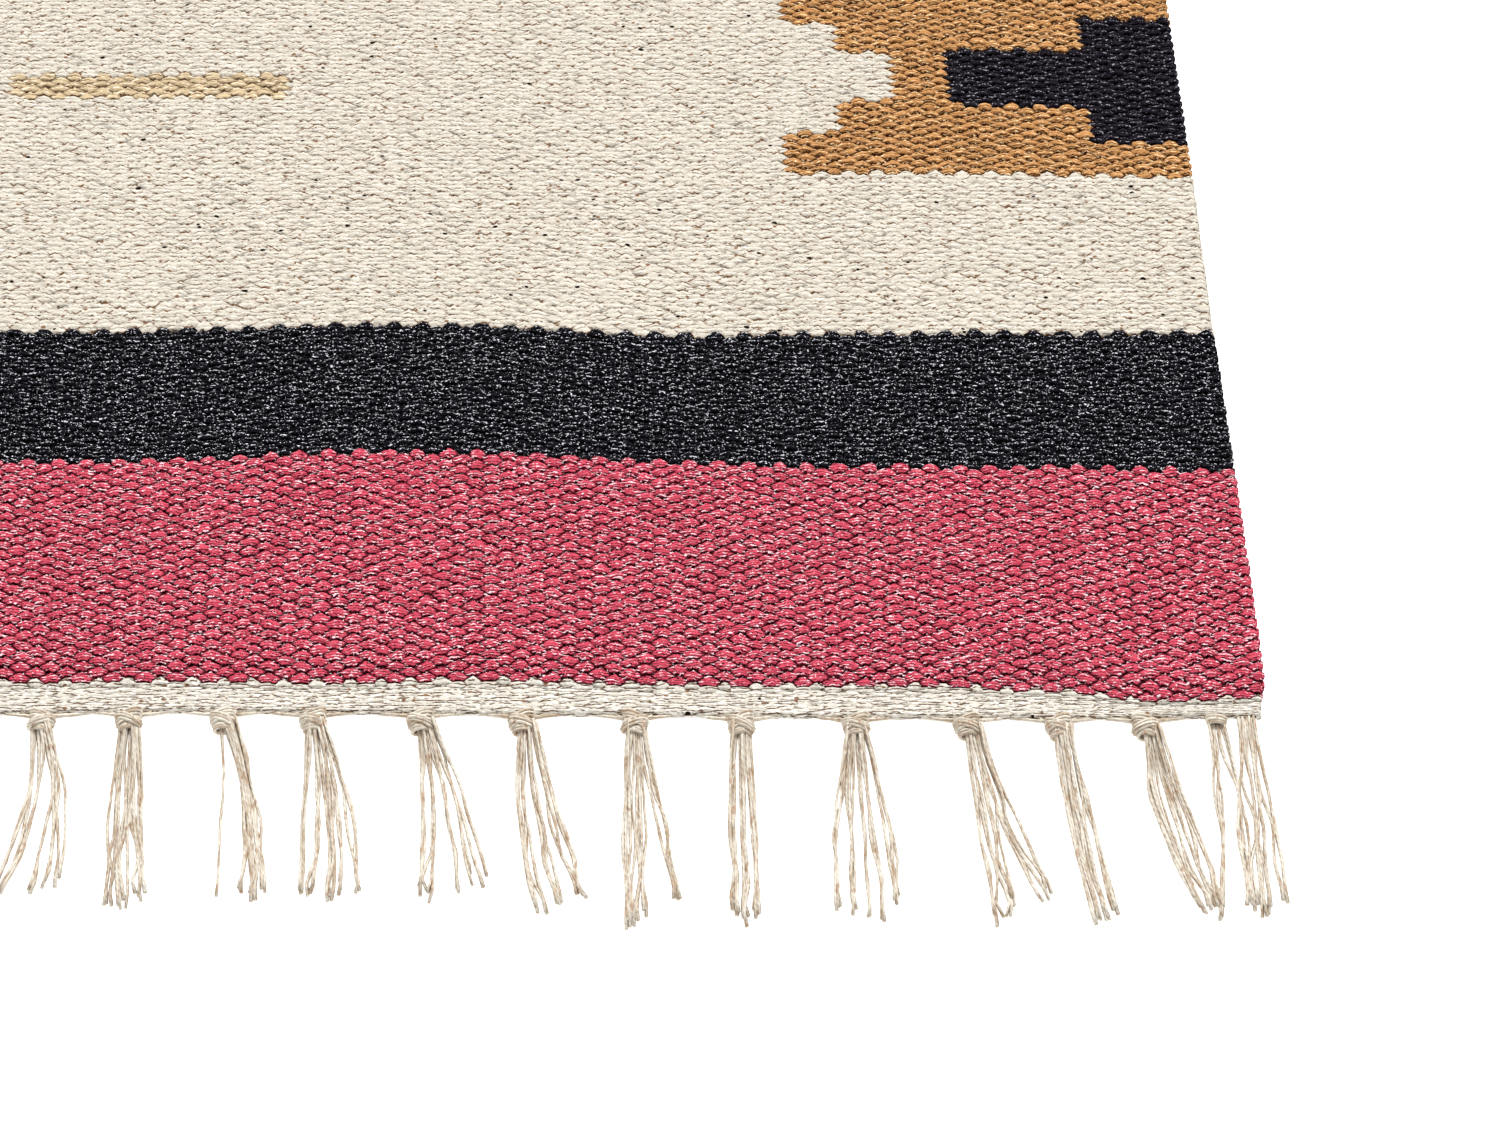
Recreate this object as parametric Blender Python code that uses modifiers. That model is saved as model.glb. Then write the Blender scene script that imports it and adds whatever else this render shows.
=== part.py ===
"""Kilim rug: a flat-woven cloth with a thin hem at each end, and knotted warp tassels past each hem.

X runs across the rug, Y along its warps and Z up from the floor. The origin lies under the rug's middle.
"""

import collections
import math
import random

import bmesh
import bpy
from mathutils import Matrix, Vector

# Driving dimensions, in metres.
CLOTH_WIDTH = 0.600
CLOTH_LENGTH = 0.900
CLOTH_THICKNESS = 0.0045
HEM_LENGTH = 0.0087
HEM_THICKNESS = 0.0030
HEM_SLOPE = 0.0030
HEM_TUCK = 0.0014
EDGE_ROUNDING = 0.0012
CLOTH_STEPS = (12, 20)
SELVEDGE_WAVER = 0.0005
SELVEDGE_WAVER_LENGTH = 0.310
CLEARANCE = 0.0003

KNOT_DISTANCE = 0.0058
KNOT_WIDTH = 0.0104
KNOT_LENGTH = 0.0072
KNOT_THICKNESS = 0.0064
KNOT_END_SHARE = 0.80
KNOT_SIDES = 8
KNOT_SLANT = math.radians(14)

GATHER_HALF_WIDTH = 0.0104
GATHER_HALF_HEIGHT = 0.0012
GATHER_NECK_HALF_WIDTH = 0.0038
GATHER_NECK_HALF_HEIGHT = 0.0022
GATHER_LENGTH = 0.0050

LOCKS_PER_TASSEL = 6
LOCK_WIDTH = 0.0013
LOCK_ROOT_SPREAD = 0.0076
LOCK_ROOT_DISTANCE = 0.0080
LOCK_LIFT = 0.00002
RAGGEDNESS = 0.10
LOOSE_LEAN = 0.0022
LEAN_CURVE = 1.4

# How far along a lock each of its points lies, how much of its sideways run it has made, its share of
# the width, and how high it still is above the floor, as a share of the knot's middle.
LockPoint = collections.namedtuple("LockPoint", "along sideways width lift")
LOCK_POINTS = (
    LockPoint(0.00, 0.00, 0.80, 1),
    LockPoint(0.22, 0.12, 0.95, 0),
    LockPoint(0.58, 0.50, 1.00, 0),
    LockPoint(1.00, 1.00, 0.60, 0),
)

# One row for each tassel of a quarter, from the selvedge to the middle of the end: how far its knot is
# tied from its even place, how far its locks lean towards +X, how wide they spread, and how far the
# longest of them reaches past the cloth.
Tie = collections.namedtuple("Tie", "shift lean spread reach")
TIES = (
    Tie(-0.0030, 0.0000, 0.0140, 0.0585),
    Tie(-0.0054, 0.0099, 0.0105, 0.0570),
    Tie(-0.0085, 0.0071, 0.0105, 0.0587),
    Tie(-0.0104, 0.0082, 0.0146, 0.0585),
    Tie(-0.0074, 0.0006, 0.0150, 0.0582),
    Tie(-0.0034, -0.0006, 0.0105, 0.0590),
    Tie(-0.0015, 0.0034, 0.0140, 0.0615),
    Tie(0.0020, 0.0097, 0.0146, 0.0576),
    Tie(0.0027, 0.0083, 0.0150, 0.0540),
    Tie(0.0049, 0.0049, 0.0130, 0.0540),
    Tie(0.0026, 0.0090, 0.0105, 0.0538),
    Tie(0.0015, 0.0030, 0.0110, 0.0560),
)
TIE_PITCH = CLOTH_WIDTH / (2 * len(TIES))

# Each quarter's side of the rug, its end, and the way its tassels lean. The first has its rows' leans.
Quarter = collections.namedtuple("Quarter", "name side end lean")
QUARTERS = (
    Quarter("front_right", 1, -1, None),
    Quarter("front_left", -1, -1, -0.0030),
    Quarter("back_right", 1, 1, 0.0040),
    Quarter("back_left", -1, 1, -0.0035),
)

WOVEN_COTTON = (0.723, 0.665, 0.571, 1)
WARP_COTTON = (0.760, 0.680, 0.552, 1)


def clear_scene():
    for obj in list(bpy.data.objects):
        bpy.data.objects.remove(obj, do_unlink=True)
    for collection in list(bpy.data.collections):
        bpy.data.collections.remove(collection)


def cotton(name, colour, roughness):
    material = bpy.data.materials.new(name)
    material.use_nodes = True
    shader = material.node_tree.nodes["Principled BSDF"]
    shader.inputs["Base Color"].default_value = colour
    shader.inputs["Roughness"].default_value = roughness
    shader.inputs["Metallic"].default_value = 0.0
    return material


def object_from(mesh, name, collection):
    """A new object that holds what is in a bmesh, which is freed."""
    data = bpy.data.meshes.new(name)
    mesh.to_mesh(data)
    mesh.free()
    obj = bpy.data.objects.new(name, data)
    collection.objects.link(obj)
    return obj


def evaluated_mesh(obj):
    graph = bpy.context.evaluated_depsgraph_get()
    return bpy.data.meshes.new_from_object(obj.evaluated_get(graph))


def fused(pieces, name, collection):
    """One object from overlapping pieces, by Boolean unions onto the first. The pieces are removed."""
    body = pieces[0]
    for piece in pieces[1:]:
        union = body.modifiers.new("join", "BOOLEAN")
        union.operation = "UNION"
        union.object = piece
    bpy.context.view_layer.update()
    data = evaluated_mesh(body)
    for piece in pieces:
        bpy.data.objects.remove(piece, do_unlink=True)
    data.name = name
    obj = bpy.data.objects.new(name, data)
    collection.objects.link(obj)
    return obj


# The cloth


def half_width(y):
    """Half the cloth's width at y: the selvedge wavers a little, and the hem draws its corners in."""
    waver = SELVEDGE_WAVER * math.sin(math.tau * y / SELVEDGE_WAVER_LENGTH)
    from_end = CLOTH_LENGTH / 2 - abs(y)
    tuck = HEM_TUCK * max(0.0, 1 - from_end / (HEM_LENGTH + HEM_SLOPE))
    return CLOTH_WIDTH / 2 + abs(waver) - tuck


def thickness(y):
    """The cloth's thickness at y: the hem's fine rows are thinner than the body's."""
    from_hem = CLOTH_LENGTH / 2 - HEM_LENGTH - abs(y)
    slope = min(1.0, max(0.0, from_hem / HEM_SLOPE))
    return HEM_THICKNESS + (CLOTH_THICKNESS - HEM_THICKNESS) * slope


def row_stations(rows):
    """The Y of each row of points: the ends, both sides of each hem's slope, and even steps between."""
    end = CLOTH_LENGTH / 2
    hem = end - HEM_LENGTH
    body = hem - HEM_SLOPE
    steps = rows - 5
    inner = [-body + 2 * body * step / steps for step in range(steps + 1)]
    return [-end, -hem, *inner, hem, end]


def build_cloth(collection):
    columns, rows = CLOTH_STEPS
    mesh = bmesh.new()
    bmesh.ops.create_grid(mesh, x_segments=columns, y_segments=rows, size=0.5)
    stations = row_stations(rows + 1)
    for vert in mesh.verts:
        y = stations[round((vert.co.y + 0.5) * rows)]
        vert.co = Vector((2 * vert.co.x * half_width(y), y, 0))
    raised = bmesh.ops.extrude_face_region(mesh, geom=mesh.faces[:])
    for item in raised["geom"]:
        if isinstance(item, bmesh.types.BMVert):
            item.co.z = thickness(item.co.y)
    bmesh.ops.recalc_face_normals(mesh, faces=mesh.faces[:])
    cloth = object_from(mesh, "rug_cloth", collection)
    rounding = cloth.modifiers.new("rounded edges", "BEVEL")
    rounding.width = EDGE_ROUNDING
    rounding.segments = 3
    rounding.limit_method = "ANGLE"
    rounding.angle_limit = math.radians(60)
    cloth.data.materials.append(cotton("woven cotton", WOVEN_COTTON, 0.95))
    return cloth


# The tassels, each modelled with the cloth's edge along Y = 0 and its locks towards -Y


def build_knot(side, collection):
    """The knot: a slanted barrel around the bundled warps, widest in the middle."""
    mesh = bmesh.new()
    bmesh.ops.create_cone(mesh, cap_ends=True, segments=KNOT_SIDES, radius1=0.5, radius2=0.5, depth=1)
    long_edges = [edge for edge in mesh.edges if abs(edge.verts[0].co.z - edge.verts[1].co.z) > 0.5]
    bmesh.ops.subdivide_edges(mesh, edges=long_edges, cuts=1)
    for vert in mesh.verts:
        if abs(vert.co.z) > 0.4:
            vert.co.xy = vert.co.xy * KNOT_END_SHARE
    even = Matrix.Rotation(math.pi / KNOT_SIDES, 4, "Z")
    lay_down = Matrix.Rotation(math.pi / 2, 4, "X")
    size = Matrix.Diagonal((KNOT_WIDTH, KNOT_LENGTH, KNOT_THICKNESS, 1))
    slant = Matrix.Rotation(side * KNOT_SLANT, 4, "Z")
    place = Matrix.Translation((0, -KNOT_DISTANCE, KNOT_THICKNESS / 2 + LOCK_LIFT))
    mesh.transform(place @ slant @ size @ lay_down @ even)
    return object_from(mesh, "knot", collection)


def build_gather(half_span, collection):
    """The warps drawn together from the cloth's edge into the knot: a flat six-sided funnel."""
    mesh = bmesh.new()
    bmesh.ops.create_cone(mesh, cap_ends=True, segments=6, radius1=1, radius2=1, depth=1)
    mesh.transform(Matrix.Rotation(math.radians(30), 4, "Z"))
    flat_share = math.cos(math.radians(30))
    for vert in mesh.verts:
        at_cloth = vert.co.z > 0
        wide = half_span if at_cloth else GATHER_NECK_HALF_WIDTH
        high = GATHER_HALF_HEIGHT if at_cloth else GATHER_NECK_HALF_HEIGHT
        y = -CLEARANCE if at_cloth else -CLEARANCE - GATHER_LENGTH
        z = high * (1 + vert.co.y / flat_share) + LOCK_LIFT
        vert.co = Vector((vert.co.x * wide, y, z))
    bmesh.ops.recalc_face_normals(mesh, faces=mesh.faces[:])
    return object_from(mesh, "gather", collection)


def build_locks(tie, ragged, collection):
    """The tassel's locks, four-sided and tapering, side by side from the knot and level on the floor."""
    curve = bpy.data.curves.new("locks", "CURVE")
    curve.dimensions = "3D"
    curve.twist_mode = "Z_UP"
    curve.bevel_depth = LOCK_WIDTH / math.sqrt(2)
    curve.bevel_resolution = 0
    curve.use_fill_caps = True
    longest = ragged.randrange(LOCKS_PER_TASSEL)
    for lock in range(LOCKS_PER_TASSEL):
        across = 2 * lock / (LOCKS_PER_TASSEL - 1) - 1
        root = Vector((across * (LOCK_ROOT_SPREAD - LOCK_WIDTH) / 2, -LOCK_ROOT_DISTANCE))
        length = 1 if lock == longest else 1 - ragged.uniform(0, RAGGEDNESS)
        lean = tie.lean * length**LEAN_CURVE
        tip = Vector((lean + across * (tie.spread - LOCK_WIDTH) / 2, -tie.reach * length))
        spline = curve.splines.new("POLY")
        spline.points.add(len(LOCK_POINTS) - 1)
        for point, step in zip(spline.points, LOCK_POINTS):
            x = root.x + (tip.x - root.x) * step.sideways
            y = root.y + (tip.y - root.y) * step.along
            lying = LOCK_WIDTH * step.width / 2 + LOCK_LIFT
            point.co = (x, y, max(lying, KNOT_THICKNESS / 2 * step.lift), 1)
            point.radius = step.width
            point.tilt = math.radians(45)
    guide = bpy.data.objects.new("locks", curve)
    collection.objects.link(guide)
    mesh = bmesh.new()
    mesh.from_mesh(evaluated_mesh(guide))
    bmesh.ops.remove_doubles(mesh, verts=mesh.verts[:], dist=1e-6)
    bpy.data.objects.remove(guide, do_unlink=True)
    return object_from(mesh, "locks", collection)


def build_tassel(name, tie, from_selvedge, ragged, collection, material):
    half_span = min(GATHER_HALF_WIDTH, from_selvedge - CLEARANCE)
    pieces = [
        build_knot(ragged.choice((-1, 1)), collection),
        build_gather(half_span, collection),
        build_locks(tie, ragged, collection),
    ]
    tassel = fused(pieces, name, collection)
    tassel.data.materials.clear()
    tassel.data.materials.append(material)
    return tassel


def quarter_ties(quarter, ragged):
    """The quarter's own rows of the table. All but the first deal the spreads and reaches out anew."""
    if quarter.lean is None:
        return TIES
    spreads = [tie.spread for tie in TIES[1:]]
    reaches = [tie.reach for tie in TIES[1:]]
    ragged.shuffle(spreads)
    ragged.shuffle(reaches)
    ties = [TIES[0]]
    for tie, spread, reach in zip(TIES[1:], spreads, reaches):
        lean = quarter.lean + ragged.uniform(-LOOSE_LEAN, LOOSE_LEAN)
        ties.append(Tie(tie.shift, lean, spread, reach))
    return ties


def build_tassels(collection):
    material = cotton("undyed warp cotton", WARP_COTTON, 0.9)
    ragged = random.Random(23)
    for quarter in QUARTERS:
        turn = Matrix.Rotation(math.pi, 4, "Z") if quarter.end > 0 else Matrix.Identity(4)
        for place, tie in enumerate(quarter_ties(quarter, ragged)):
            from_selvedge = (place + 0.5) * TIE_PITCH + tie.shift
            x = quarter.side * (CLOTH_WIDTH / 2 - from_selvedge)
            local = tie._replace(lean=-quarter.end * tie.lean)
            name = f"tassel_{quarter.name}_{place + 1:02d}"
            tassel = build_tassel(name, local, from_selvedge, ragged, collection, material)
            tassel.matrix_world = Matrix.Translation((x, quarter.end * CLOTH_LENGTH / 2, 0)) @ turn


def main():
    clear_scene()
    rug = bpy.data.collections.new("kilim rug")
    bpy.context.scene.collection.children.link(rug)
    build_cloth(rug)
    build_tassels(rug)


main()
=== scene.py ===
"""The looks of the kilim rug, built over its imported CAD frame.

The cloth is a weft-faced plain weave. Wherever a weft passes over a warp there is a stitch: a cell of a
lattice with a column for each warp and a line for each pick, which is one pass of the weft. The fringe is
modelled yarn by yarn. X runs across the rug, Y along its warps and Z up.
"""

import functools
import math
from collections import namedtuple

import bmesh
import bpy
import numpy as np
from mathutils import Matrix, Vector


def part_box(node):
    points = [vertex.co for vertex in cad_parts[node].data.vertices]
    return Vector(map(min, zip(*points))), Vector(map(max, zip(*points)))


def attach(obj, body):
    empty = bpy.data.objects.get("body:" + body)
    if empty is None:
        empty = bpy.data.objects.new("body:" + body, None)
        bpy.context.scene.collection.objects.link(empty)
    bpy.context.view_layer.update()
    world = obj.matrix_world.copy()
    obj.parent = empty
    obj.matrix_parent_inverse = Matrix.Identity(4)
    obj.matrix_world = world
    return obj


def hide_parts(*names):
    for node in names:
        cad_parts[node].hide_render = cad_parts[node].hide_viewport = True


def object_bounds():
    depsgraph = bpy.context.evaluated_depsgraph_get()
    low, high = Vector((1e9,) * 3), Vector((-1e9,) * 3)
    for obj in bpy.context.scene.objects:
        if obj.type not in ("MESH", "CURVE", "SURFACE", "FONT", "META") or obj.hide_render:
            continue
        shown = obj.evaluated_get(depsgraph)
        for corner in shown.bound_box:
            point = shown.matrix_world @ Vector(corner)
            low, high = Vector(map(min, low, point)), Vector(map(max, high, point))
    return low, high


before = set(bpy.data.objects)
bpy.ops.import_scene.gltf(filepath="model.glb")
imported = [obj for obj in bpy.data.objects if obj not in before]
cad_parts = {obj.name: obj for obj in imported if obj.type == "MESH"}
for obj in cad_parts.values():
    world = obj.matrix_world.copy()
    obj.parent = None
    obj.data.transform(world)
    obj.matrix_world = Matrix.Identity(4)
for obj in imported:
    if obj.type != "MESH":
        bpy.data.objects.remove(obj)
cad_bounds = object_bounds()

MM = 0.001

# The weave from one end inwards: each stripe's picks and length. Between the ends' stripes is plain cream.
WARP_PITCH = 4 * MM
Stripe = namedtuple("Stripe", "name picks length")
STRIPES = [Stripe(*row) for row in (
    ("hem", 12, 8.7 * MM),
    ("red", 44, 75.4 * MM),
    ("black", 32, 47.6 * MM),
    ("cream", 38, 60.8 * MM),
    ("motifs", 51, 81.6 * MM),
    ("cream", 39, 62.9 * MM),
    ("motifs", 51, 81.6 * MM),
)]
MIDDLE_PICKS = 39

# The stepped motif at each selvedge: steps of so many picks, and their reach in warps from the selvedge.
BROWN_STEPS = ((11, 29), (8, 25), (13, 21), (8, 25), (11, 29))
BLACK_STEPS = ((9, 0), (9, 7), (15, 17), (9, 7), (9, 0))
TAN_BAR_PICKS = (20, 26)
TAN_BAR_WARPS = 20

YARNS = ("cream", "red", "black", "brown", "tan", "hem", "motif_black")
STRETCHES = ("front", "front_middle", "back_middle", "back")
CREAM, RED, BLACK, BROWN, TAN, HEM, MOTIF_BLACK = range(len(YARNS))

# Each yarn's stitches: how full they stand and how deep their creases go, as shares of the relief, and
# how far their tips reach over the gap beside them, as a share of the warp pitch.
StitchForm = namedtuple("StitchForm", "fullness depth reach")
STITCH_FORMS = {
    CREAM: StitchForm(0.86, 0.5, 0.37),
    RED: StitchForm(0.96, 0.68, 0.36),
    BLACK: StitchForm(0.88, 0.8, 0.37),
    BROWN: StitchForm(1.04, 0.85, 0.42),
    TAN: StitchForm(0.92, 0.8, 0.38),
    HEM: StitchForm(0.9, 0.9, 0.26),
    MOTIF_BLACK: StitchForm(0.94, 0.84, 0.4),
}

# How far borders lie from their even places towards the back, by distance from the selvedge, in
# millimetres: the rug's end, and the far edges of its first stripes. At the other selvedge the same waves
# run in squeezed and shifted. Borders further in have slight ripples.
Wave = namedtuple("Wave", "from_selvedge end hem red black cream")
WAVES = [Wave(*row) for row in (
    (0, -0.2, -3.4, -2.8, 0.2, -0.8),
    (20, -0.5, -5.3, -2.9, -0.6, 0.0),
    (38, -1.0, -4.9, -1.7, -0.9, 0.8),
    (46, -0.9, -1.1, -1.2, -1.2, 0.9),
    (60, -0.8, -1.7, -2.0, 0.1, 1.2),
    (80, -0.6, 0.2, -1.6, -0.6, 1.6),
    (120, -0.4, 0.1, -1.4, -0.8, 0.2),
    (145, 0.0, 0.1, -0.2, -2.0, 0.1),
    (160, 0.2, 0.4, 0.6, -0.6, 0.0),
    (185, 0.5, 1.7, 2.6, 1.0, 0.3),
    (200, 0.6, 2.1, 3.6, 2.4, 0.4),
    (240, 1.0, 0.9, 3.8, 3.2, 0.6),
    (280, 1.4, 1.9, 0.9, 0.9, 0.2),
    (320, 0.6, 1.0, -0.3, 0.0, 0.0),
)]
OTHER_SIDE_SQUEEZE = 0.86
OTHER_SIDE_SHIFT = 30 * MM
Ripple = namedtuple("Ripple", "height length")
INNER_RIPPLES = (Ripple(0.9 * MM, 83 * MM), Ripple(0.4 * MM, 31 * MM))
RIPPLE_PHASE = 1.7

# How unevenly the picks are beaten and how the warps wander, as shares of their pitch: sums of smooth
# noises that change over so many picks and warps.
Noise = namedtuple("Noise", "size reach")
BEAT = (Noise(0.14, (2, 9)), Noise(0.07, (1, 2)))
WANDER = (Noise(0.1, (24, 3)), Noise(0.05, (5, 1)))

# How unlike stitches are, as shares of the warp pitch, of the pick's spacing or of the relief.
Scatter = namedtuple("Scatter", "tip gap_along gap_depth over_along over_depth fullness lean height")
SCATTER = Scatter(0.06, 0.12, 0.05, 0.11, 0.1, 0.08, 0.12, 0.04)

# The cloth's section. Relief is how deep its weave is: less where picks are crowded, down to a share of
# it. An inset is where the cloth begins to turn down round its edge.
CLOTH_THICKNESS = 4.5 * MM
HEM_THICKNESS = 2.5 * MM
SLOPE_PICKS = 3
RELIEF = 1.35 * MM
HEM_RELIEF = 0.45 * MM
LEAST_RELIEF = 0.3
EDGE_INSET = 2 * MM
EDGE_TURN = 1.9 * MM
END_INSET = 1 * MM
END_TURN = 1 * MM
WRAPPED_PICKS = 3
SELVEDGE_WAVER = 0.5 * MM
SELVEDGE_WAVER_LENGTH = 0.31
HEM_TUCK = 1.4 * MM
HEM_TUCK_LENGTH = 11.7 * MM

# How far stitches' tips reach where yarns meet, how high a crease turns up over the warp, and where a
# stitch's two inner rows of points lie.
JOINT_REACH = 0.38
BORDER_REACH = 0.2
HEM_PEAK_REACH = 0.4
HEM_FOOT_REACH = 0.04
CREASE_OVER_WARP = 0.5
SHOULDER_ALONG = 0.34
SHOULDER_HEIGHT = 0.7
CROWN_HEIGHT = 0.96
ROW_SPREAD = 0.42

# The sheet under the stitches: how far it lies under their creases and in from the edges, and how many
# picks and warps its faces span at most.
BASE_DEPTH = 0.3 * MM
BASE_INSET = 1 * MM
BASE_FACE_PICKS = 60
BASE_FACE_WARPS = 10

# A yarn of the fringe: a tube with a flattened section that winds round, as two plies do.
YARN_RADIUS = 0.46 * MM
YARN_SIDES = 5
PLY_FLATNESS = 0.8
PLY_TURN = 26 * MM
CAP_LENGTH = 0.4

# A knot: bands of yarns round the bundle, each with its yarns, its place in millimetres out from the knot's
# middle, its slant in degrees, its size, and how fast it narrows towards its rim.
KNOT_DISTANCE = 4.4 * MM
KNOT_WIDTH = 8 * MM
KNOT_THICKNESS = 5.6 * MM
KNOT_REGION = (4 * MM, 7.5 * MM)
TIPS_REGION = 0.8
Band = namedtuple("Band", "yarns out slant size taper")
KNOT_BANDS = (Band(4, -1.5, 24, 0.86, 0.03), Band(4, 0.1, -20, 0.93, 0.1), Band(2, 1.8, 10, 0.62, 0.05))
KNOT_POINTS = 14
KNOT_YARN_PITCH = 0.85 * MM
KNOT_YARN_RADIUS = YARN_RADIUS * 1.2
KNOT_YARN_SIZES = (0.98, 1.02)
KNOT_WIDEST = -0.6
SLANT_SCATTER = 4
UNDERSIDE_SLANT = 0.4

# The warps drawn into a knot from each side, in millimetres: how far along the rug's end each starts, how
# far out it is halfway, and how far aside and above the knot's middle it goes in.
DrawnWarp = namedtuple("DrawnWarp", "start out aside above")
DRAWN_WARPS = [DrawnWarp(*row) for row in (
    (2.4, 1.15, 0.8, -0.6),
    (5.6, 0.9, 1.3, -0.2),
    (8.8, 0.65, 1.8, 0.2),
    (12.0, 0.4, 2.3, 0.6),
)]
DRAWN_POINTS = 6
DRAWN_SCATTER = 0.4
DRAWN_HALFWAY = 0.62
DRAWN_START_OUT = -0.7 * MM
DRAWN_END_OUT = KNOT_DISTANCE - 2.2 * MM
DRAWN_HEIGHTS = (1.4 * MM, 1.6 * MM)
DRAWN_RADIUS = YARN_RADIUS * 1.1

# The strands below a knot: how wide and high their bundle leaves it, as shares of its width and
# thickness, how much of their lean they have there, and over what share of their length they come down to
# the floor.
STRAND_POINTS = 15
STRAND_START = KNOT_DISTANCE - 0.6 * MM
BUNDLE_WIDTH = 0.55
BUNDLE_LIFT = KNOT_THICKNESS * 0.55
BUNDLE_DEPTH = 1.9 * MM / BUNDLE_LIFT
BUNDLE_LEAN = 0.14
LEAN_CURVE = 1.4
FALL_SHARE = 0.3
FALL_CURVE = 1.5
GROUP_MIDDLE = 0.62
GROUP_TIP = 0.5
STRAND_SIZES = (0.92, 1.2)
TIP_SWELL = 0.18
TIP_SWELL_CURVE = 6
REACH_SCATTER = (-0.8, 1.4)

# Where along the strands they gather, and round what share of them.
Station = namedtuple("Station", "share bundles")
STATIONS = ((0.0, 0), (0.18, 0.75), (0.38, 0.55), (0.6, 0.55), (0.8, 0.5), (0.93, 0.6), (1.0, 0))
STATIONS = [Station(*station) for station in STATIONS]
GATHER_REACH = 2 * MM
GATHER_PULL = (0.4, 0.9)
GATHER_SCATTER = 0.3 * MM

# Each tassel of the front right quarter, from the selvedge to the middle, in millimetres from its knot: the
# groups of its strands, where they lie halfway and at the tip, and how wide and long they are.
Group = namedtuple("Group", "strands middle tip spread reach")
FORMS = (
    ((4, -2.6, -3.4, 2.2, 60), (4, 0.4, -0.4, 2.2, 61), (3, 3.4, 4.2, 2, 57)),
    ((3, 1.5, 8.2, 1.6, 57), (4, 4, 10.4, 2.4, 58.5), (3, 6.9, 12.4, 2, 58), (3, 9.2, 13.8, 1.6, 57)),
    ((5, 1.9, 5.4, 1.6, 61), (4, 3.8, 7.6, 1.6, 61.5), (3, 6.2, 9.8, 1.6, 59.5)),
    ((2, 1.6, 3.5, 0.8, 62), (2, 3, 5.8, 1, 61.5), (3, 5.3, 7.7, 1.6, 57.5), (5, 8, 16.2, 3.6, 55.5)),
    (
        (3, -5.4, -6.6, 1.6, 59), (3, -2.4, -2.8, 1.6, 60.5), (2, 0.6, 0.6, 1.2, 61),
        (2, 2.8, 4, 1.2, 63), (3, 6, 7.6, 1.6, 57.5),
    ),
    ((4, -3.2, -2.8, 1.8, 61), (4, -0.4, -0.4, 1.8, 62), (4, 2.4, 2.2, 1.8, 61)),
    ((4, -2.4, -2, 1.8, 63.5), (3, 0.2, -0.2, 1.6, 63), (2, 1.8, 2, 1, 61.5), (4, 5.6, 9.8, 2.4, 57.5)),
    ((3, -0.4, 4, 0.8, 60), (2, 1.4, 6.4, 0.8, 60), (3, 4, 9.6, 1.6, 58), (4, 8, 15, 3.4, 56)),
    (
        (3, 1.3, 1, 0.8, 55), (3, 3.7, 3, 0.8, 56), (2, 7, 10.4, 0.8, 54.5),
        (2, 8.9, 13.6, 1, 53), (2, 10.6, 17, 1.8, 52),
    ),
    (
        (3, -1, -1, 1, 56), (3, 1.8, 1.4, 1.6, 56), (3, 5.2, 6.2, 1.6, 56.5),
        (2, 7.2, 8.6, 1, 56), (3, 9.8, 13, 1.6, 54.5),
    ),
    ((1, 1, 1.1, 0.2, 57.5), (3, 6.8, 6.8, 1.2, 54), (5, 8, 10, 2, 57), (3, 9, 12.6, 1.2, 55)),
    ((4, -2, -1.4, 2.6, 58), (4, 0.8, 2.2, 2.6, 60), (4, 3.6, 6.4, 3.2, 57)),
)
FORMS = [[Group(*group) for group in form] for form in FORMS]
QUARTERS = ("front_right", "front_left", "back_right", "back_left")

# The corner tassel's bundles, one from a small knot half under the hem and one straight from the corner:
# each with its place from the tassel's middle, how far out and how high its strands start, and its knot's
# turns.
CORNER_TASSEL = "tassel_front_right_01"
CORNER_KNOT_FORM = (Group(3, -1.8, -5, 1.2, 61), Group(3, 3, 2.5, 2, 58.5))
CORNER_FORM = (Group(3, -2.6, -3.4, 2.2, 60), Group(3, -0.2, -0.8, 1.8, 61), Group(2, 2.6, 3.6, 2, 57))
Turn = namedtuple("Turn", "radius out")
CORNER_TURNS = (Turn(2.5 * MM, 0.7 * MM), Turn(2.2 * MM, 1.6 * MM), Turn(1.9 * MM, 2.5 * MM))
CornerBundle = namedtuple("CornerBundle", "place first lift turns form")
CORNER_BUNDLES = (
    CornerBundle(-4.3 * MM, 1.4 * MM, 1.6 * MM, CORNER_TURNS, CORNER_KNOT_FORM),
    CornerBundle(3.5 * MM, -0.5 * MM, 1 * MM, (), CORNER_FORM),
)
CORNER_POINTS = 12
CORNER_SLANT = 0.1
CORNER_HEIGHT = 1.9 * MM
CORNER_HALF_THICKNESS = 1.2 * MM
CORNER_YARN_RADIUS = YARN_RADIUS * 1.4

# The stage.
FLOOR_HALF = 6.0
FLOOR_GAP = 0.05 * MM
SKY_STRENGTH = 0.7
LAMP_STRENGTH = 3.6
LAMP_BREADTH = math.radians(16)
LAMP_FROM = (0.12, 0.9, 1.0)
CAMERA_LENS = 93.9
CAMERA_SHIFT = 0.1187
CAMERA_PLACE = (0.1231, -1.0579, 0.7866)
CAMERA_TILT = math.radians(40)

dice = np.random.default_rng(11)


# The lattice


WARPS = round((cad_bounds[1].x - cad_bounds[0].x) / WARP_PITCH)
CLOTH_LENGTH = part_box("rug_cloth")[1].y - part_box("rug_cloth")[0].y
PICKS = 2 * sum(stripe.picks for stripe in STRIPES) + MIDDLE_PICKS
HALF_WIDTH = WARPS * WARP_PITCH / 2

picks = np.arange(-WRAPPED_PICKS - 1, PICKS + WRAPPED_PICKS + 1)
gaps = np.arange(-1, WARPS + 2)
columns = np.arange(-1, WARPS + 1)
gap_x = (gaps - WARPS / 2) * WARP_PITCH

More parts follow.
